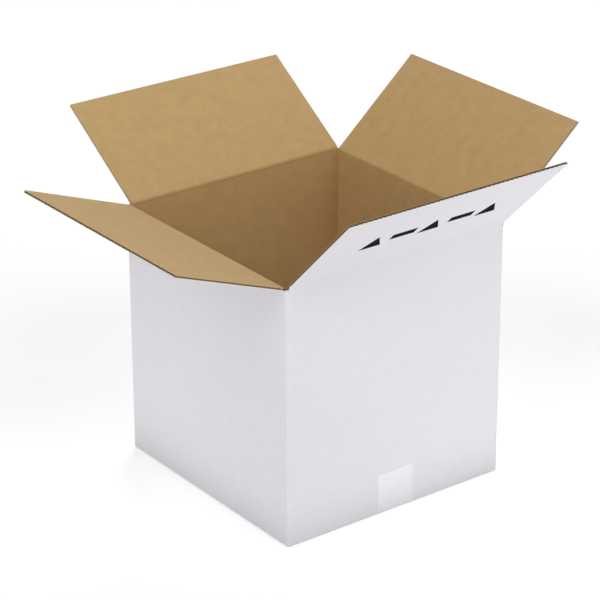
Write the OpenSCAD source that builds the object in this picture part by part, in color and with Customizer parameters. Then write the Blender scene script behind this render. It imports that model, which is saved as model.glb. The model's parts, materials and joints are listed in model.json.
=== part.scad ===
// Open corrugated carton with four top flaps, closed at the bottom and taped.
// The box is made up from one folded blank, so the walls, the glue tab and the bottom flaps are one solid.
// X runs from the left wall to the right wall, Y from the front wall to the back wall, Z is up.
// The origin is the middle of the base, on the plane that the box stands on.

/* [Inside sizes] */
// Inside width, left wall to right wall
inside_w = 300; // [200:1:400]
// Inside length, front wall to back wall
inside_l = 300; // [200:1:400]
// Inside height with all flaps closed
inside_h = 302; // [180:1:400]

/* [Corrugated board] */
// Thickness of the whole board
board_t = 2.8; // [2.2:0.1:4.2]
// Thickness of each of the two flat liners
liner_t = 0.35; // [0.25:0.05:0.5]
// Thickness of the wavy sheet between the liners
medium_t = 0.35; // [0.2:0.05:0.45]
// Length of one full wave along the board
flute_pitch = 6.4; // [5:0.1:9]
// Width over which each wave tip is glued to its liner
glue_line_w = 1; // [0.6:0.1:1.6]

/* [Creases] */
// Thickness of the board where a flap's crease crushes it
crease_t = 1.2; // [0.8:0.1:1.8]
// Run over which the board thins towards a flap's crease
crease_run = 2.5; // [2:0.5:8]
// Distance from the outer face to the line that a flap turns on
hinge_out = 0.2; // [0.1:0.05:0.4]
// Clearance left in a crease when its flap is closed
crease_clear = 0.15; // [0.1:0.05:0.4]
// Crushed length past the crease before the flutes open
flute_seal = 2; // [1:0.5:6]

/* [Flaps] */
// Gap between two flaps that meet in the middle
flap_gap = 10; // [1:0.5:16]
// Clearance from a flap's side to the inner face of the wall beside it
slot_clear = 0.5; // [0.4:0.1:3]
// How far the corner slots run below the lower creases
slot_drop = 0.5; // [0.4:0.1:3]
// Gap between two flaps that lie on each other
layer_gap = 0.3; // [0.2:0.05:1]
// Angle by which the front flap stands open, out from upright
front_open = 45; // [10:0.5:120]
// Angle by which the back flap stands open, out from upright
back_open = 56; // [10:0.5:120]
// Angle by which the left flap stands open, out from upright
left_open = 69.5; // [10:0.5:120]
// Angle by which the right flap stands open, out from upright
right_open = 49; // [10:0.5:120]

/* [Bottom] */
// Radius of the outer bottom edge under the front and back walls
bead_r = 1.2; // [0.8:0.1:1.6]
// Height of that edge above the outer bottom flaps' undersides
bead_lift = 0.4; // [0.2:0.1:0.8]

/* [Glued corner] */
// Width of the glue tab
tab_w = 35; // [25:1:50]
// Thickness of the tab, pressed flat by gluing
tab_t = 2; // [1.2:0.1:2.6]
// Slant of the tab's two ends
tab_bevel_deg = 15; // [5:1:30]
// Depth of the open flute in the raw board end at the glued corner
raw_edge_depth = 1.5; // [0.5:0.1:2.4]
// Clearance from the tab's ends to the closed flaps
tab_clear = 3; // [1:0.5:10]

/* [Tape] */
// Width of the tape
tape_w = 50; // [36:1:75]
// Thickness of the tape
tape_t = 0.2; // [0.1:0.05:0.3]
// Height to which each end of the tape runs up its wall
tape_rise = 50; // [20:1:100]

/* [Hidden] */

arc_steps = 6;
round_fn = 48;
overcut = 1;

// Places along a wave, in shares of its length from the crest, at which a channel's section has a point
wave_samples = [-0.22, -0.07, 0.07, 0.22];

// Outside sizes of the four walls
outer_w = inside_w + 2 * board_t;
outer_l = inside_l + 2 * board_t;

// Levels of the two layers of bottom flaps, the outer layer under the inner one
outer_floor_z = tape_t;
inner_floor_z = outer_floor_z + board_t + layer_gap;
floor_top_z = inner_floor_z + board_t;

// Heights of the flap creases. The side flaps close first, under the front and back flaps.
side_crease_z = floor_top_z + inside_h + board_t + hinge_out;
end_crease_z = side_crease_z + board_t + layer_gap;
slot_z = side_crease_z - slot_drop;
tip_z = (side_crease_z + end_crease_z) / 2;

// A flap's side stands this far in from the outer face of the wall beside it
flap_inset = board_t + slot_clear;
crease_gap = hinge_out + crease_clear;
crush_end = crease_gap + crease_t + crease_run;
end_flap_w = outer_w - 2 * flap_inset;
side_flap_w = outer_l - 2 * flap_inset;
end_flap_len = outer_l / 2 - flap_gap / 2;
side_flap_len = outer_w / 2 - flap_gap / 2;

// Corner points of an arc, from one angle to another
function arc_points(centre, radius, from_deg, to_deg) =
    [for (step = [0 : arc_steps])
        let (angle = from_deg + (to_deg - from_deg) * step / arc_steps)
        centre + radius * [cos(angle), sin(angle)]];

// Turns a shape built on the front side onto one of the four sides
module on_side(turn) {
    rotate([0, 0, turn]) children();
}

// Runs a profile of (distance inwards, height) along the front side, centred
module along_front(width) {
    translate([-width / 2, 0, 0])
        rotate([90, 0, 90])
            linear_extrude(width) children();
}

// Top end of a wall, thinned towards its crease and mitred so that the flap can fold in
function wall_top(crease_z) = [
    [board_t, crease_z - crush_end],
    [crease_t, crease_z - crease_gap - crease_t],
    [0, crease_z - crease_gap]
];

// A side wall with its bottom flap, which is the outer one and lies on the floor
function side_panel_profile(flap_len) = concat(
    arc_points([board_t, outer_floor_z + board_t], board_t, 180, 270),
    [
        [flap_len, outer_floor_z],
        [flap_len, outer_floor_z + board_t],
        [board_t, outer_floor_z + board_t]
    ],
    wall_top(side_crease_z)
);

// A front or back wall with its bottom flap, which steps up over the ends of the outer flaps
function end_panel_profile(flap_len) = concat(
    arc_points([bead_r, outer_floor_z + bead_lift + bead_r], bead_r, 180, 270),
    [
        [flap_inset - layer_gap, inner_floor_z],
        [flap_len, inner_floor_z],
        [flap_len, floor_top_z],
        [board_t, floor_top_z]
    ],
    wall_top(end_crease_z)
);

module end_panel() {
    translate([0, -outer_l / 2, 0])
        along_front(end_flap_w) polygon(end_panel_profile(end_flap_len));
}

module side_panel() {
    translate([0, -outer_w / 2, 0])
        along_front(side_flap_w) polygon(side_panel_profile(side_flap_len));
}

// Square with its corner at the origin rounded off
module rounded_square(side, radius) {
    difference() {
        square(side);
        difference() {
            translate([-overcut, -overcut]) square(radius + overcut);
            translate([radius, radius]) circle(radius, $fn = round_fn);
        }
    }
}

// Plan of a folded corner, with its outer corner at the origin
module folded_corner_plan() {
    difference() {
        rounded_square(flap_inset, board_t);
        translate([board_t, board_t]) square(board_t);
    }
}

// Plan of the glued corner: the raw end of the side wall beside the fold of the tab
module glued_corner_plan() {
    difference() {
        square([board_t, flap_inset]);
        translate([liner_t, -overcut]) square([board_t - 2 * liner_t, overcut + raw_edge_depth]);
    }
    translate([board_t, 0]) rounded_square(slot_clear, slot_clear);
    translate([board_t, slot_clear]) square([slot_clear, board_t - slot_clear]);
}

// Runs the plan of a corner up between its bottom and its top slot
module corner_post() {
    post_low = outer_floor_z + bead_lift + bead_r;
    translate([0, 0, post_low])
        linear_extrude(slot_z - post_low) children();
}

// Rounded tip of a folded corner, thinner than the slot so that it stays clear of both flaps
module corner_tip() {
    translate([0, 0, slot_z - overcut])
        linear_extrude(tip_z - slot_z + overcut) rounded_square(board_t, board_t);
}

module folded_corner() {
    corner_post() folded_corner_plan();
    corner_tip();
}

// The tab hangs on the back wall and is glued inside the left wall
module glue_tab() {
    low = floor_top_z + tab_clear;
    high = side_crease_z - board_t - hinge_out - tab_clear;
    slant = tab_w * tan(tab_bevel_deg);
    back_y = outer_l / 2 - board_t;
    translate([-outer_w / 2 + board_t, 0, 0])
        rotate([90, 0, 90])
            linear_extrude(tab_t)
                polygon([
                    [back_y, low],
                    [back_y, high],
                    [back_y - tab_w, high - slant],
                    [back_y - tab_w, low + slant]
                ]);
}

// Four walls, glue tab and four bottom flaps, folded from one sheet
module carton_body() {
    color("white") {
        for (turn = [0, 180]) on_side(turn) end_panel();
        for (turn = [90, 270]) on_side(turn) side_panel();
        translate([-outer_w / 2, -outer_l / 2, 0]) folded_corner();
        translate([outer_w / 2, -outer_l / 2, 0]) mirror([1, 0, 0]) folded_corner();
        translate([outer_w / 2, outer_l / 2, 0]) rotate([0, 0, 180]) folded_corner();
        translate([-outer_w / 2, outer_l / 2, 0]) mirror([0, 1, 0]) corner_post() glued_corner_plan();
        glue_tab();
    }
}

// Underside of the wave between the liners, at a place along it counted from a crest
function wave_under(x, pitch) =
    let (swing = (board_t - 2 * liner_t - medium_t) / 2)
    let (phase = 360 * x / pitch)
    let (slope = swing * 2 * PI / pitch * sin(phase))
    swing * cos(phase) - medium_t / 2 * sqrt(1 + slope * slope);

// Section of the open channel under one wave crest, measured from the middle of the board
function channel_section(pitch) =
    let (base_y = -(board_t / 2 - liner_t))
    let (base_x = (pitch - glue_line_w) / 2)
    concat(
        [[-base_x, base_y]],
        [for (share = wave_samples) [share * pitch, wave_under(share * pitch, pitch)]],
        [[base_x, base_y]]
    );

// All channels of a flap, seen at its free edge. A whole number of waves fits the width.
module flute_channels(width) {
    waves = round(width / flute_pitch);
    pitch = width / waves;
    translate([-width / 2, board_t / 2]) {
        for (i = [0 : waves - 1])
            translate([(i + 0.5) * pitch, 0]) polygon(channel_section(pitch));
        for (i = [0 : waves])
            translate([i * pitch, 0]) mirror([0, 1]) polygon(channel_section(pitch));
    }
}

// Corrugated flap standing upright on its crease, outer face at y = 0, open flutes at its free edge
module flap_board(width, length) {
    difference() {
        along_front(width)
            polygon([
                [0, crease_gap],
                [crease_t, crease_gap + crease_t],
                [board_t, crush_end],
                [board_t, length],
                [0, length]
            ]);
        translate([0, 0, crush_end + flute_seal])
            linear_extrude(length) flute_channels(width);
    }
}

// Hangs a flap on a wall's crease and turns it outwards from upright
module hung_flap(turn, wall_y, crease_z, open_deg, width, length) {
    on_side(turn)
        translate([0, -wall_y - hinge_out, crease_z])
            rotate([open_deg, 0, 0])
                translate([0, hinge_out, 0])
                    flap_board(width, length);
}

module front_flap() {
    color("whitesmoke") hung_flap(0, outer_l / 2, end_crease_z, front_open, end_flap_w, end_flap_len);
}

module right_flap() {
    color("tan") hung_flap(90, outer_w / 2, side_crease_z, right_open, side_flap_w, side_flap_len);
}

module back_flap() {
    color("burlywood") hung_flap(180, outer_l / 2, end_crease_z, back_open, end_flap_w, end_flap_len);
}

module left_flap() {
    color("wheat") hung_flap(270, outer_w / 2, side_crease_z, left_open, side_flap_w, side_flap_len);
}

// Front half of the tape's run in side view, at a distance outwards from the board
function tape_half_run(out) =
    let (bead_z = outer_floor_z + bead_lift + bead_r)
    concat(
        [[-outer_l / 2 - out, tape_rise]],
        arc_points([-outer_l / 2 + bead_r, bead_z], bead_r + out, 180, 270),
        [[-outer_l / 2 + flap_inset, outer_floor_z - out]]
    );

// Whole run of the tape, from its end on the front wall to its end on the back wall
function tape_run(out) =
    let (half = tape_half_run(out))
    concat(half, [for (i = [len(half) - 1 : -1 : 0]) [-half[i].x, half[i].y]]);

// Tape along the bottom seam, turned up at both ends
module bottom_tape() {
    back_to_front = [for (point = tape_run(0)) [-point.x, point.y]];
    color("lightgray")
        along_front(tape_w) polygon(concat(tape_run(tape_t), back_to_front));
}

carton_body();
front_flap();
back_flap();
left_flap();
right_flap();
bottom_tape();
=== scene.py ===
# %% [markdown]
# # An open cardboard box
# This lesson dresses a corrugated carton that stands open on a table. The carton's solids come from a CAD
# model: one folded body, four top flaps on their creases and one strip of closing tape. Blender adds what a
# solid model leaves out: the two papers of the board, the cut edges, the liner that bends over each crease,
# and the print.

# %% Load the carton
import json
import math

import bmesh
import bpy
from mathutils import Matrix, Vector


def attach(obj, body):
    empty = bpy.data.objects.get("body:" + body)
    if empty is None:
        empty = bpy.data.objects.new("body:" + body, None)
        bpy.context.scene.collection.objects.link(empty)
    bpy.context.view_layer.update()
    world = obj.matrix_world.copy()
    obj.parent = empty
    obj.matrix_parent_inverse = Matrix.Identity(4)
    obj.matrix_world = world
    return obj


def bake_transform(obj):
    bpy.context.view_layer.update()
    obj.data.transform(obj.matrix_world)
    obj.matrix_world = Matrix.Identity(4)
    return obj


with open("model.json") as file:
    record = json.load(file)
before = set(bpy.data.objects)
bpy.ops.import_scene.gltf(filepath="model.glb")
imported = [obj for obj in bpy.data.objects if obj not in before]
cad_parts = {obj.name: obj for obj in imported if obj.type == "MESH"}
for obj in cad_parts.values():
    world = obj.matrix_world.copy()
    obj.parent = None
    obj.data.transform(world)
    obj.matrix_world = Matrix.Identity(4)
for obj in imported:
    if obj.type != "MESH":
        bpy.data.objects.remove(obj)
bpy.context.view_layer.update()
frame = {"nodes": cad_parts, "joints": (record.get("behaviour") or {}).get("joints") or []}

# %% [markdown]
# ## The sizes of the board
# Everything on a carton follows from its board, so the board's sizes come first, in metres. This is
# single-wall board, 2.8 mm thick: a wavy sheet between two flat liners. The machine that makes the board
# leaves the waves running up the walls, so they also run along each flap from its crease to its free edge.

# %% Board sizes
MM = 0.001
BOARD = 2.8 * MM
LINER = 0.35 * MM
INSIDE = 300 * MM
OUTSIDE = INSIDE + 2 * BOARD
FLOOR_TOP = 6.1 * MM
FLAP_WIDTH = 299 * MM
WAVES_ACROSS_FLAP = 47
FLUTE_PITCH = FLAP_WIDTH / WAVES_ACROSS_FLAP
# How far the hinge lines lie outside the board
HINGE_OUT = 0.2 * MM
# Faces that are closer than this lie in one plane
SKIN = 0.01 * MM
# Degrees that each flap leans out from upright
REST_ANGLE = {"front_flap": 45, "back_flap": 56, "left_flap": 69.5, "right_flap": 49}
print("one wave every", round(FLUTE_PITCH / MM, 2), "mm")

# %% [markdown]
# ## A frame of its own for every crease
# Each flap turns on a line just outside the board. If that line is made the X axis, with Y pointing into the
# box and Z up, all four creases look the same, and a piece has to be worked out only once. The joints of the
# CAD model say where the lines are. Two matrices then carry a piece into place: one stands it on the crease,
# and one also leans it out with the flap.

# %% Crease frames
on_crease = {}
on_flap = {}
for joint in frame["joints"]:
    flap = joint["child"]
    turn = math.atan2(joint["axis"][1], joint["axis"][0])
    on_crease[flap] = Matrix.Translation(joint["pos_m"]) @ Matrix.Rotation(turn, 4, "Z")
    on_flap[flap] = on_crease[flap] @ Matrix.Rotation(math.radians(REST_ANGLE[flap]), 4, "X")
    height = round(joint["pos_m"][2] / MM, 1)
    print(flap, "crease at height", height, "mm, turned", round(math.degrees(turn)), "degrees")

# %% [markdown]
# ## Three small helpers for materials
# Colours are easiest to compare with a paper swatch as sRGB hex values, but the renderer works with linear
# light, so one function turns the first into the second. Another starts a material and hands over its node
# tree and its shader. The third adds one node to a tree, sets what is given and links the rest.

# %% Colour, material and node helpers
# A Mix node holds a set of sockets for each kind of value, and these are the places of two sets
NUMBER_A, NUMBER_B = 2, 3
COLOUR_A, COLOUR_B, MIXED_COLOUR = 6, 7, 2


def linear(hex_colour):
    """The linear colour of an sRGB hex value."""
    channels = [int(hex_colour[i : i + 2], 16) / 255 for i in (1, 3, 5)]
    return (*[c / 12.92 if c <= 0.04045 else ((c + 0.055) / 1.055) ** 2.4 for c in channels], 1)


def new_material(name):
    """A material with its node tree and its shader."""
    material = bpy.data.materials.new(name)
    material.use_nodes = True
    return material, material.node_tree, material.node_tree.nodes["Principled BSDF"]


def add_node(tree, kind, inputs=(), **settings):
    """Adds a node. inputs holds pairs of a socket and its value, or the output that feeds it."""
    node = tree.nodes.new(kind)
    for name, value in settings.items():
        setattr(node, name, value)
    for socket, value in inputs:
        if isinstance(value, bpy.types.NodeSocket):
            tree.links.new(value, node.inputs[socket])
        else:
            node.inputs[socket].default_value = value
    return node


print("middle grey, #808080, is", round(linear("#808080")[0], 3), "in linear light")

# %% [markdown]
# ## What paper looks like close up
# A liner is paper: fibres one to three millimetres long that lie mostly along the web, with cloudy patches
# where they gathered on the wire, and a trace of the waves underneath, because the glue lines pull the liner
# in a little. All three are built once here from Object coordinates, so the pattern runs on from a wall over
# the crease onto its flap. Single fibres are far too fine to show, so they are drawn much coarser, as bundles
# 5 mm long and 0.6 mm wide.

# %% Paper patterns
FIBRE_LENGTH = 5 * MM
FIBRE_WIDTH = 0.6 * MM
CLOUD = 13 * MM


def paper_patterns(tree):
    """The place on the piece, and the clouds, fibres and waves there, each from 0 to 1."""
    coordinates = add_node(tree, "ShaderNodeTexCoord")
    place = coordinates.outputs["Object"]
    clouds = add_node(
        tree,
        "ShaderNodeTexNoise",
        [("Vector", place), ("Scale", 1 / CLOUD), ("Detail", 2.0), ("Roughness", 0.45)],
    )
    stretched = add_node(
        tree,
        "ShaderNodeMapping",
        [("Vector", place), ("Scale", (1 / FIBRE_LENGTH, 1 / FIBRE_LENGTH, 1 / FIBRE_WIDTH))],
    )
    fibres = add_node(
        tree, "ShaderNodeTexNoise", [("Vector", stretched.outputs[0]), ("Scale", 1.0), ("Detail", 2.0)]
    )
    # The waves are counted along X on the front and back, and along Y on the left and right
    position = add_node(tree, "ShaderNodeSeparateXYZ", [(0, place)])
    facing = add_node(tree, "ShaderNodeSeparateXYZ", [(0, coordinates.outputs["Normal"])])
    size_x = add_node(tree, "ShaderNodeMath", [(0, facing.outputs["X"])], operation="ABSOLUTE")
    size_y = add_node(tree, "ShaderNodeMath", [(0, facing.outputs["Y"])], operation="ABSOLUTE")
    sideways = add_node(
        tree, "ShaderNodeMath", [(0, size_x.outputs[0]), (1, size_y.outputs[0])], operation="GREATER_THAN"
    )
    along = add_node(
        tree,
        "ShaderNodeMix",
        [
            ("Factor", sideways.outputs[0]),
            (NUMBER_A, position.outputs["X"]),
            (NUMBER_B, position.outputs["Y"]),
        ],
    )
    angle = add_node(
        tree, "ShaderNodeMath", [(0, along.outputs[0]), (1, 2 * math.pi / FLUTE_PITCH)], operation="MULTIPLY"
    )
    wave = add_node(tree, "ShaderNodeMath", [(0, angle.outputs[0])], operation="SINE")
    waves = add_node(tree, "ShaderNodeMapRange", [("Value", wave.outputs[0]), ("From Min", -1.0)])
    return place, clouds.outputs[0], fibres.outputs[0], waves.outputs[0]


print("fibres drawn", FIBRE_LENGTH / MM, "by", FIBRE_WIDTH / MM, "mm, clouds", CLOUD / MM, "mm")

# %% [markdown]
# ## Painted shade on a white wall
# The white walls get a painted shade: they are darker along their foot, and darker towards the fold at the
# front left. The shade is worked out from the place on the carton, so it needs no picture. It is a factor
# that the paper's own colour is multiplied by.

# %% Painted shade of a wall
# Painted shade rises from the foot of a wall up to this height
FOOT_SHADE_HEIGHT = 90 * MM
# The third power keeps most of the painted shade in the lowest centimetres
FOOT_SHADE_POWER = 3.0
# Painted shade reaches this far from the front left fold, and is this dark at the fold
FOLD_SHADE_REACH = 300 * MM
FOLD_SHADE_TONE = 0.95


def painted_wall_shade(tree, place, foot_shade_tone, fold_shade_tone):
    """Painted shade: 1 on most of a wall, down to foot_shade_tone at its foot and to fold_shade_tone at the
    front left fold.
    """
    position = add_node(tree, "ShaderNodeSeparateXYZ", [(0, place)])
    nearness = add_node(
        tree,
        "ShaderNodeMapRange",
        [("Value", position.outputs["Z"]), ("From Max", FOOT_SHADE_HEIGHT), ("To Min", 1.0), ("To Max", 0.0)],
    )
    foot_shade_curve = add_node(tree, "ShaderNodeMath", [(0, nearness.outputs[0]), (1, FOOT_SHADE_POWER)], operation="POWER")
    at_foot = add_node(
        tree, "ShaderNodeMapRange", [("Value", foot_shade_curve.outputs[0]), ("To Min", 1.0), ("To Max", foot_shade_tone)]
    )
    # On the front wall the larger one of X and Y is X, and on the left wall it is Y
    from_fold = add_node(
        tree, "ShaderNodeMath", [(0, position.outputs["X"]), (1, position.outputs["Y"])], operation="MAXIMUM"
    )
    at_fold = add_node(
        tree,
        "ShaderNodeMapRange",
        [
            ("Value", from_fold.outputs[0]),
            ("From Min", -OUTSIDE / 2),
            ("From Max", FOLD_SHADE_REACH - OUTSIDE / 2),
            ("To Min", fold_shade_tone),
        ],
        interpolation_type="SMOOTHSTEP",
    )
    shade = add_node(
        tree, "ShaderNodeMath", [(0, at_foot.outputs[0]), (1, at_fold.outputs[0])], operation="MULTIPLY"
    )
    return shade.outputs[0]


print("grey up to", FOOT_SHADE_HEIGHT / MM, "mm high, and within", FOLD_SHADE_REACH / MM, "mm of the near fold")

# %% [markdown]
# ## The liner on both sides
# Outside is white-top linerboard: a thin bleached layer on brown paper, pressed smooth by the machine. To the
# eye it is matt and slightly cool, with faint greyer patches where the brown shows through. Inside is plain
# kraft linerboard, unbleached and unsized, so it is browner, rougher and more cloudy, with a few dark specks
# of bark. Both are the same recipe with other colours, so one function makes them.

# %% Recipe for a liner
BARK_SPECK = 1.6 * MM
# How softly a speck ends, and how much of the paper it hides
BARK_SOFTNESS = 0.05
BARK_COVER = 0.6
# The glue lines pull the liner in by this much
WAVE_RELIEF = 0.03 * MM


def liner_material(name, colours, fibre_contrast, wave_contrast, roughness, relief, specks, foot_shade_tone):
    """Paper from three sRGB colours: its thin patches, its thick patches and its bark specks."""
    material, tree, shader = new_material(name)
    place, clouds, fibres, waves = paper_patterns(tree)
    thin, thick, bark = [linear(colour) for colour in colours]
    # Noise keeps to the middle of its range, so that part is spread over the whole of it
    patches = add_node(tree, "ShaderNodeMapRange", [("Value", clouds), ("From Min", 0.3), ("From Max", 0.7)])
    paper = add_node(
        tree,
        "ShaderNodeMix",
        [("Factor", patches.outputs[0]), (COLOUR_A, thin), (COLOUR_B, thick)],
        data_type="RGBA",
    )
    # Fibres and waves lighten and darken the paper a little around its own colour
    streaks = add_node(
        tree,
        "ShaderNodeMapRange",
        [
            ("Value", fibres),
            ("From Min", 0.2),
            ("From Max", 0.8),
            ("To Min", 1 - fibre_contrast),
            ("To Max", 1 + fibre_contrast),
        ],
    )
    bands = add_node(
        tree,
        "ShaderNodeMapRange",
        [("Value", waves), ("To Min", 1 - wave_contrast), ("To Max", 1 + wave_contrast)],
    )
    shade = add_node(
        tree, "ShaderNodeMath", [(0, streaks.outputs[0]), (1, bands.outputs[0])], operation="MULTIPLY"
    )
    # Painted shade: the paper is darkened towards its foot and towards the front left fold
    if foot_shade_tone < 1:
        painted_shade = painted_wall_shade(tree, place, foot_shade_tone, FOLD_SHADE_TONE)
        shade = add_node(tree, "ShaderNodeMath", [(0, shade.outputs[0]), (1, painted_shade)], operation="MULTIPLY")
    toned = add_node(
        tree,
        "ShaderNodeVectorMath",
        [(0, paper.outputs[MIXED_COLOUR]), ("Scale", shade.outputs[0])],
        operation="SCALE",
    )
    dots = add_node(
        tree, "ShaderNodeTexNoise", [("Vector", place), ("Scale", 1 / BARK_SPECK), ("Detail", 1.0)]
    )
    bark_here = add_node(
        tree,
        "ShaderNodeMapRange",
        [
            ("Value", dots.outputs[0]),
            ("From Min", specks),
            ("From Max", specks + BARK_SOFTNESS),
            ("To Max", BARK_COVER),
        ],
    )
    colour = add_node(
        tree,
        "ShaderNodeMix",
        [("Factor", bark_here.outputs[0]), (COLOUR_A, toned.outputs[0]), (COLOUR_B, bark)],
        data_type="RGBA",
    )
    tree.links.new(colour.outputs[MIXED_COLOUR], shader.inputs["Base Color"])
    shader.inputs["Roughness"].default_value = roughness
    fibre_relief = add_node(
        tree, "ShaderNodeBump", [("Height", fibres), ("Distance", relief), ("Strength", 0.6)]
    )
    wave_relief = add_node(
        tree,
        "ShaderNodeBump",
        [
            ("Height", waves),
            ("Distance", WAVE_RELIEF),
            ("Strength", 0.5),
            ("Normal", fibre_relief.outputs[0]),
        ],
    )
    tree.links.new(wave_relief.outputs[0], shader.inputs["Normal"])
    return material


print("bark specks come from noise of", BARK_SPECK / MM, "mm")

# %% [markdown]
# ## White outside, brown inside
# The recipe is now used twice. The white liner is calendered, so it is smoother, its fibres hardly show, and
# only it gets the painted shade at its foot and near the front left fold. The brown one shows its fibres and
# clouds. specks says how rare the bark is: the noise has to rise above that value.

# %% The two liners
white_top = liner_material(
    "white_top_linerboard",
    ("#DEDCE0", "#E0DEE2", "#BDB6AC"),
    fibre_contrast=0.004,
    wave_contrast=0.0015,
    roughness=0.72,
    relief=0.008 * MM,
    specks=0.78,
    # How dark the painted shade at the foot of the white walls gets
    foot_shade_tone=0.77,
)
kraft = liner_material(
    "kraft_linerboard",
    ("#C09F6C", "#C6A570", "#8F7148"),
    fibre_contrast=0.025,
    wave_contrast=0.006,
    roughness=0.85,
    relief=0.02 * MM,
    specks=0.72,
    foot_shade_tone=1.0,
)
print("made", white_top.name, "and", kraft.name)

# %% [markdown]
# ## The cut edge
# Where the board is cut, its section shows: two thin liners and, between them, the end of the wavy sheet with
# dark hollows. The hollows are real geometry in the flaps, so only the colours are left to do. A Mapping node
# set to Texture undoes a flap's place and lean, and its Y then measures how deep a point lies in the board.
# Cutting smears the paper, so the colours of the liners run out towards the middle over 0.9 mm.

# %% Cut edge materials
SMEAR = 0.9 * MM
FUZZ = 0.8 * MM
FUZZ_RELIEF = 0.1 * MM
WAVY_DARK, WAVY_LIGHT = linear("#705D43"), linear("#8C7654")
INNER_LINER_CUT = linear("#AD8E61")
OUTER_LINER_CUT = linear("#DEDAD3")


def cut_edge_material(name, place_matrix):
    """Board seen on edge: liners at both faces, and the browner wavy sheet between them."""
    material, tree, shader = new_material(name)
    coordinates = add_node(tree, "ShaderNodeTexCoord")
    in_board = add_node(
        tree,
        "ShaderNodeMapping",
        [
            ("Vector", coordinates.outputs["Object"]),
            ("Location", place_matrix.to_translation()),
            ("Rotation", place_matrix.to_euler()),
        ],
        vector_type="TEXTURE",
    )
    depth = add_node(tree, "ShaderNodeSeparateXYZ", [(0, in_board.outputs[0])])
    in_outer = add_node(
        tree,
        "ShaderNodeMapRange",
        [
            ("Value", depth.outputs["Y"]),
            ("From Min", HINGE_OUT + LINER),
            ("From Max", HINGE_OUT + LINER + SMEAR),
            ("To Min", 1.0),
            ("To Max", 0.0),
        ],
    )
    in_inner = add_node(
        tree,
        "ShaderNodeMapRange",
        [
            ("Value", depth.outputs["Y"]),
            ("From Min", HINGE_OUT + BOARD - LINER - SMEAR),
            ("From Max", HINGE_OUT + BOARD - LINER),
        ],
    )
    fuzz = add_node(
        tree,
        "ShaderNodeTexNoise",
        [("Vector", coordinates.outputs["Object"]), ("Scale", 1 / FUZZ), ("Detail", 2.0)],
    )
    colour = add_node(
        tree,
        "ShaderNodeMix",
        [("Factor", fuzz.outputs[0]), (COLOUR_A, WAVY_DARK), (COLOUR_B, WAVY_LIGHT)],
        data_type="RGBA",
    )
    for here, liner_cut in ((in_inner, INNER_LINER_CUT), (in_outer, OUTER_LINER_CUT)):
        colour = add_node(
            tree,
            "ShaderNodeMix",
            [("Factor", here.outputs[0]), (COLOUR_A, colour.outputs[MIXED_COLOUR]), (COLOUR_B, liner_cut)],
            data_type="RGBA",
        )
    tree.links.new(colour.outputs[MIXED_COLOUR], shader.inputs["Base Color"])
    shader.inputs["Roughness"].default_value = 0.9
    rough_cut = add_node(
        tree, "ShaderNodeBump", [("Height", fuzz.outputs[0]), ("Distance", FUZZ_RELIEF), ("Strength", 0.6)]
    )
    tree.links.new(rough_cut.outputs[0], shader.inputs["Normal"])
    return material


cut_edges = {flap: cut_edge_material("cut_board_" + flap, on_flap[flap]) for flap in on_flap}
raw_corner = cut_edge_material("cut_board_walls", Matrix.Translation((0, -OUTSIDE / 2, 0)))
print("made", len(cut_edges) + 1, "cut edge materials")

# %% [markdown]
# ## Dressing the flaps
# A flap keeps its CAD mesh. Each of its faces gets one of three papers by how deep it lies in the board: the
# white liner at the outer face, the brown one at the inner face, and the cut edge for everything between.

# %% Flaps get their papers
# The material slots of the three papers
WHITE, BROWN, CUT = 0, 1, 2


def wear(node, materials, pick):
    """Puts materials on a CAD node's slots and picks one for every face."""
    mesh = node.data
    mesh.materials.clear()
    for material in materials:
        mesh.materials.append(material)
    areas = [0.0] * len(materials)
    for face in mesh.polygons:
        face.material_index = pick(face)
        areas[face.material_index] += face.area
    print(node.name, "cm2 of each paper:", [round(area * 10000, 1) for area in areas])


for flap, matrix in on_flap.items():
    into_board = matrix.inverted()

    def paper_by_depth(face):
        depth = (into_board @ face.center).y - HINGE_OUT
        if depth < SKIN:
            return WHITE
        return BROWN if depth > BOARD - SKIN else CUT

    wear(frame["nodes"][flap], (white_top, kraft, cut_edges[flap]), paper_by_depth)

# %% [markdown]
# ## Dressing the folded body
# The body is one sheet too, so the same three papers cover it. Here a face's side is told by where it lies
# and which way it looks: outward faces of the walls and everything under the bottom are white, inward faces
# and the top of the bottom are brown, and small level faces in the corner slots are cut edges. At the back
# left, where the blank is glued, the raw end of the board shows.

# %% The body gets its papers
# The Z of a face's normal is 0 on an upright wall and 1 on a level face that looks up
LEANS_UP = 0.3
LEVEL = 0.9


def paper_of_body(face):
    """The slot of the paper that a face of the body shows."""
    centre, facing = face.center, face.normal
    reach = max(abs(centre.x), abs(centre.y))
    outward = facing.x * centre.x + facing.y * centre.y > 0
    raw_end = centre.y > OUTSIDE / 2 - LINER and centre.x < -INSIDE / 2
    if raw_end:
        return CUT
    if centre.z < FLOOR_TOP / 2 + LINER and facing.z < LEANS_UP:
        return WHITE
    if facing.z > LEVEL:
        return BROWN if centre.z < FLOOR_TOP + SKIN else CUT
    if reach > INSIDE / 2 + BOARD / 2 + LINER and outward:
        return WHITE
    if reach < INSIDE / 2 + SKIN and not outward:
        return BROWN
    return BROWN if facing.z > LEANS_UP else CUT


wear(frame["nodes"]["carton_body"], (white_top, kraft, raw_corner), paper_of_body)
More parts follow.
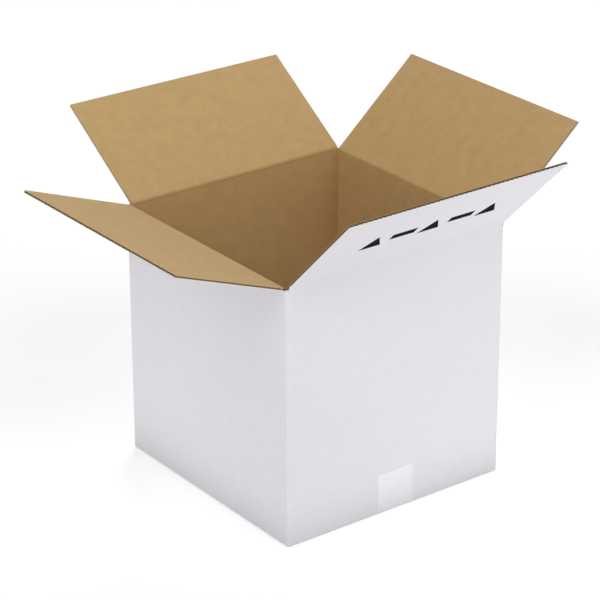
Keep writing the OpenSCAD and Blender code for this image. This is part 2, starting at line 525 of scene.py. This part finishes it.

# %% [markdown]
# ## The closing tape
# Packing tape is polypropylene film, stretched until it is clear and strong, with glue on its back. Over
# white board the glue fills the pores of the paper, so the strip looks a little lighter and smoother than the
# board around it, with shallow ripples from the hand that pressed it on. Like the wall, it gets a painted
# shade that darkens it towards its foot. The CAD strip has its true outline, so it only needs the film.

# %% Tape material
RIPPLE = 14 * MM
RIPPLE_RELIEF = 0.3 * MM
# How dark the painted shade at the tape's foot gets
TAPE_FOOT_SHADE = 0.71
film, film_tree, film_shader = new_material("polypropylene_tape")
film_place = add_node(film_tree, "ShaderNodeTexCoord").outputs["Object"]
ripples = add_node(
    film_tree, "ShaderNodeTexNoise", [("Vector", film_place), ("Scale", 1 / RIPPLE), ("Detail", 2.0)]
)
film_colour = add_node(
    film_tree,
    "ShaderNodeMix",
    [("Factor", ripples.outputs[0]), (COLOUR_A, linear("#E6E4E8")), (COLOUR_B, linear("#EBE9ED"))],
    data_type="RGBA",
)
# Painted shade: the tape is darkened towards its foot, as the wall is
film_shade = painted_wall_shade(film_tree, film_place, TAPE_FOOT_SHADE, fold_shade_tone=1.0)
film_shaded = add_node(
    film_tree,
    "ShaderNodeVectorMath",
    [(0, film_colour.outputs[MIXED_COLOUR]), ("Scale", film_shade)],
    operation="SCALE",
)
film_tree.links.new(film_shaded.outputs[0], film_shader.inputs["Base Color"])
film_shader.inputs["Roughness"].default_value = 0.38
film_relief = add_node(
    film_tree,
    "ShaderNodeBump",
    [("Height", ripples.outputs[0]), ("Distance", RIPPLE_RELIEF), ("Strength", 0.3)],
)
film_tree.links.new(film_relief.outputs[0], film_shader.inputs["Normal"])
wear(frame["nodes"]["bottom_tape"], (film,), lambda face: 0)

# %% [markdown]
# ## The liner over a crease
# A crease is not a cut: the board is crushed along a line, and both liners run over it unbroken. The CAD
# flaps are separate solids with a mitred gap, so a strip of liner is laid over each gap, inside and outside.
# A strip starts as a flat grid that stands on the crease. Each row is pressed in where the crease is crushed,
# and turned about the hinge line by its share of the flap's angle: none on the wall, all of it on the flap,
# and smoothly between.

# %% Strip of liner over one crease
STRIP_ROWS = 40
STRIP_THICKNESS = 0.12 * MM
# Edges that turn by more than this stay sharp when the strip is shaded smooth
SHARP_FROM = math.radians(50)


def piece_from(bm, name, material):
    """An object in the scene, made from a finished bmesh, that wears one material."""
    mesh = bpy.data.meshes.new(name)
    bm.to_mesh(mesh)
    bm.free()
    mesh.materials.append(material)
    piece = bpy.data.objects.new(name, mesh)
    bpy.context.scene.collection.objects.link(piece)
    return piece


def share_of_turn(height, bend_reach):
    """0 on the wall, 1 on the flap, and smooth in the crushed zone between."""
    t = min(max((height + bend_reach) / (2 * bend_reach), 0), 1)
    return t * t * (3 - 2 * t)


def liner_over_crease(name, flap, material, face_depth, fold_at, reach, bend_reach, pressed):
    """Bends a strip of liner over a crease. face_depth is how far inwards of the hinge line its face lies."""
    angle = math.radians(REST_ANGLE[flap])
    inside = face_depth > BOARD / 2
    bm = bmesh.new()
    bmesh.ops.create_grid(bm, x_segments=1, y_segments=STRIP_ROWS, size=0.5)
    bmesh.ops.scale(bm, vec=(FLAP_WIDTH, 2 * reach, 1), verts=bm.verts)
    upright = Matrix.Rotation(math.radians(90), 3, "X")
    bmesh.ops.rotate(bm, cent=(0, 0, 0), matrix=upright, verts=bm.verts)
    bmesh.ops.translate(bm, vec=(0, face_depth, 0), verts=bm.verts)
    if inside:
        bmesh.ops.reverse_faces(bm, faces=bm.faces)
    # The points of one row share a height, apart from rounding
    rows = {}
    for vert in bm.verts:
        rows.setdefault(round(vert.co.z, 7), []).append(vert)
    for height, row in rows.items():
        share = share_of_turn(height - fold_at, bend_reach)
        # This is nothing at both ends of the bend and all of pressed in its middle
        press = pressed * 4 * share * (1 - share)
        bmesh.ops.translate(bm, vec=(0, -press, 0), verts=row)
        bmesh.ops.rotate(bm, cent=(0, 0, 0), matrix=Matrix.Rotation(share * angle, 3, "X"), verts=row)
    bmesh.ops.solidify(bm, geom=bm.faces[:], thickness=STRIP_THICKNESS)
    bmesh.ops.transform(bm, matrix=on_crease[flap], verts=bm.verts)
    strip = piece_from(bm, name, material)
    strip.data.shade_smooth()
    strip.data.set_sharp_from_angle(angle=SHARP_FROM)
    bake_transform(strip)
    print(name, len(strip.data.vertices), "points")


print("strips will have", STRIP_ROWS, "steps and be", round(STRIP_THICKNESS / MM, 2), "mm thick")

# %% [markdown]
# ## Eight strips
# Every crease gets one strip inside and one outside. On the inside the liner gives way near the middle of the
# crushed band, so the fold of the front and back flaps lies a little under their hinge line, and that of the
# side flaps, whose hinge line is one board lower, a little above it. A long, even hand-over about the middle
# of the inner fold keeps the brown strip inside the board when the flap is shut. The outer liner folds right
# at the hinge line, so its strip is shorter and bends more sharply.

# %% Strips inside and outside
INNER_FOLD = 1.8 * MM
INNER_FOLD_AT = {
    "front_flap": -INNER_FOLD,
    "back_flap": -INNER_FOLD,
    "left_flap": INNER_FOLD,
    "right_flap": INNER_FOLD,
}
# How far each strip stands proud of its liner, so that the two don't share a plane
INNER_PROUD = 0.03 * MM
OUTER_PROUD = 0.05 * MM
for flap in on_crease:
    liner_over_crease(
        flap + "_inner_crease",
        flap,
        kraft,
        face_depth=HINGE_OUT + BOARD + INNER_PROUD,
        fold_at=INNER_FOLD_AT[flap],
        reach=5 * MM,
        bend_reach=1.4 * MM,
        pressed=0.25 * MM,
    )
    liner_over_crease(
        flap + "_outer_crease",
        flap,
        white_top,
        face_depth=HINGE_OUT - OUTER_PROUD,
        fold_at=0,
        reach=3 * MM,
        bend_reach=0.6 * MM,
        pressed=0,
    )

# %% [markdown]
# ## The ink on the front flap
# Plain cartons often carry a row of marks that shows which side opens. They are printed by flexography: a
# rubber plate lays down a thin, matt black that is slightly uneven, because the plate touches the waves of
# the board more firmly than the hollows.

# %% Printing ink
ink, ink_tree, ink_shader = new_material("flexo_ink")
ink_fibres, ink_waves = paper_patterns(ink_tree)[2:]
ink_cover = add_node(ink_tree, "ShaderNodeMath", [(0, ink_fibres), (1, ink_waves)], operation="MULTIPLY")
ink_colour = add_node(
    ink_tree,
    "ShaderNodeMix",
    [("Factor", ink_cover.outputs[0]), (COLOUR_A, linear("#0F1012")), (COLOUR_B, linear("#08090A"))],
    data_type="RGBA",
)
ink_tree.links.new(ink_colour.outputs[MIXED_COLOUR], ink_shader.inputs["Base Color"])
ink_shader.inputs["Roughness"].default_value = 0.9
ink_shader.inputs["Specular IOR Level"].default_value = 0.06
print("made", ink.name)

# %% [markdown]
# ## Arrowheads and bars
# The marks are plain arrowheads that point to the free edge, with a bar between each two. They are thin slabs
# with rounded corners that lie on the flap and move with it, so they stay sharp however close the camera
# comes. An arrowhead is a cone with three sides and two equal ends. Its height is one and a half times its
# radius, and the middle of that height lies a sixth of it above the centre.

# %% Marks on the front flap
MARK_HEIGHT = 26 * MM
MARK_STEP = 40 * MM
BAR_LENGTH = 34 * MM
BAR_HEIGHT = 12 * MM
INK_FILM = 0.04 * MM
MARKS_UP = 74 * MM
MARKS_ALONG = 4 * MM
CORNER = 0.8 * MM


def ink_arrow(bm, along):
    """A solid triangle with its tip towards the free edge."""
    radius = MARK_HEIGHT / 1.5
    made = bmesh.ops.create_cone(
        bm, cap_ends=True, segments=3, radius1=radius, radius2=radius, depth=INK_FILM
    )["verts"]
    tip = max(made, key=lambda vert: vert.co.x).co
    to_free_edge = Matrix.Rotation(math.radians(90) - math.atan2(tip.y, tip.x), 3, "Z")
    bmesh.ops.rotate(bm, cent=(0, 0, 0), matrix=to_free_edge, verts=made)
    bmesh.ops.rotate(bm, cent=(0, 0, 0), matrix=Matrix.Rotation(math.radians(90), 3, "X"), verts=made)
    bmesh.ops.translate(bm, vec=(along, 0, -MARK_HEIGHT / 6), verts=made)


def ink_bar(bm, along):
    """A short bar that lies along the flap."""
    made = bmesh.ops.create_cube(bm, size=1)["verts"]
    bmesh.ops.scale(bm, vec=(BAR_LENGTH, INK_FILM, BAR_HEIGHT), verts=made)
    bmesh.ops.translate(bm, vec=(along, 0, 0), verts=made)


marks = bmesh.new()
for place_in_row in (-2, 0, 2):
    ink_arrow(marks, place_in_row * MARK_STEP)
for place_in_row in (-1, 1):
    ink_bar(marks, place_in_row * MARK_STEP)
through = [edge for edge in marks.edges if abs(edge.verts[0].co.y - edge.verts[1].co.y) > INK_FILM / 2]
bmesh.ops.bevel(
    marks,
    geom=through,
    offset=CORNER,
    offset_type="OFFSET",
    affect="EDGES",
    segments=3,
    profile=0.5,
    material=-1,
)
bmesh.ops.translate(marks, vec=(MARKS_ALONG, HINGE_OUT - INK_FILM / 2, MARKS_UP), verts=marks.verts)
bmesh.ops.transform(marks, matrix=on_flap["front_flap"], verts=marks.verts)
opening_marks = piece_from(marks, "opening_marks", ink)
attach(opening_marks, "front_flap")
print("marks:", len(opening_marks.data.polygons), "faces")

# %% [markdown]
# ## The table
# The box is shown as in a catalogue, on a white table. The table top is a wide disc at height 0, under the
# tape, so that it has no edge near the box. Its paint is matt, and it glows faintly, as a lit sweep does.

# %% Table top
TABLE_RADIUS = 9
TABLE_GLOW = 0.285
table_paint, _, paint = new_material("white_table_paint")
paint.inputs["Base Color"].default_value = linear("#F4F4F4")
paint.inputs["Roughness"].default_value = 0.9
paint.inputs["Specular IOR Level"].default_value = 0.0
paint.inputs["Emission Color"].default_value = (1, 1, 1, 1)
paint.inputs["Emission Strength"].default_value = TABLE_GLOW
table_top = bmesh.new()
bmesh.ops.create_circle(table_top, cap_ends=True, segments=96, radius=TABLE_RADIUS)
table = piece_from(table_top, "white_table", table_paint)
print("table is", 2 * TABLE_RADIUS, "m wide")

# %% [markdown]
# ## The room
# The world is a white room around the table, and its walls are brighter than its ceiling. For the world,
# Object coordinates are a direction, and Z is 0 at the horizon and 1 straight up. The light fades from walls
# to ceiling between two values of Z.

# %% White room
WALLS_OF_ROOM = 0.95
CEILING_OF_ROOM = 0.1
WALLS_UP_TO = 0.2
CEILING_FROM = 0.4
world = bpy.data.worlds.new("white_room")
world.use_nodes = True
room = world.node_tree
room.nodes["Background"].inputs["Color"].default_value = (1, 1, 1, 1)
direction = add_node(room, "ShaderNodeTexCoord").outputs["Object"]
upward = add_node(room, "ShaderNodeSeparateXYZ", [(0, direction)])
room_light = add_node(
    room,
    "ShaderNodeMapRange",
    [
        ("Value", upward.outputs["Z"]),
        ("From Min", WALLS_UP_TO),
        ("From Max", CEILING_FROM),
        ("To Min", WALLS_OF_ROOM),
        ("To Max", CEILING_OF_ROOM),
    ],
    interpolation_type="SMOOTHSTEP",
)
room.links.new(room_light.outputs[0], room.nodes["Background"].inputs["Strength"])
bpy.context.scene.world = world
bpy.context.scene.view_settings.view_transform = "Standard"
print("the room's walls shine at", WALLS_OF_ROOM, "and its ceiling at", CEILING_OF_ROOM)

# %% [markdown]
# ## The soft boxes
# Four large soft boxes stand around the box, high up. One at the front and one at the left light the inside
# between them, so that its corner stays a little darker than both walls. The other two even out the right
# side and brighten the flaps that lean away. All of them face the middle of the box.

# %% Four soft boxes
SOFT_BOX_SIZE = 3.6
MIDDLE_OF_BOX = Vector((0, 0, 0.2))
for name, place, watts in (
    ("front_soft_box", (0, -4.4, 5.0), 118),
    ("left_soft_box", (-4.4, -1.2, 4.6), 146),
    ("right_soft_box", (3.2, -4.4, 3.4), 49),
    ("back_soft_box", (4.0, 3.2, 3.8), 148),
):
    light = bpy.data.lights.new(name, "AREA")
    light.shape = "SQUARE"
    light.size = SOFT_BOX_SIZE
    light.energy = watts
    lamp = bpy.data.objects.new(name, light)
    lamp.location = place
    lamp.rotation_euler = (MIDDLE_OF_BOX - Vector(place)).to_track_quat("-Z", "Y").to_euler()
    bpy.context.scene.collection.objects.link(lamp)
    print(name, "gives", watts, "watts from", round(Vector(place).length, 1), "m")

# %% [markdown]
# ## The camera
# The carton is seen from the front left and from above, with a long lens, so that its upright edges stay
# almost parallel. The place, direction and focal length were worked out from the corners of the real carton.

# %% Camera
CAMERA_PLACE = (-1.66244, -2.19115, 1.44068)
HEADING = math.radians(36.85)
DOWN = math.radians(24.17)
ROLL = math.radians(-0.18)
camera_data = bpy.data.cameras.new("catalogue_camera")
camera_data.sensor_width = 36
camera_data.lens = 156.86
camera = bpy.data.objects.new("catalogue_camera", camera_data)
camera.location = CAMERA_PLACE
looking = Vector((math.cos(DOWN) * math.sin(HEADING), math.cos(DOWN) * math.cos(HEADING), -math.sin(DOWN)))
aimed = looking.to_track_quat("-Z", "Y").to_matrix() @ Matrix.Rotation(ROLL, 3, "Z")
camera.rotation_euler = aimed.to_euler()
bpy.context.scene.collection.objects.link(camera)
bpy.context.scene.camera = camera
print("camera stands", round(camera.location.length, 2), "m from the middle of the base")
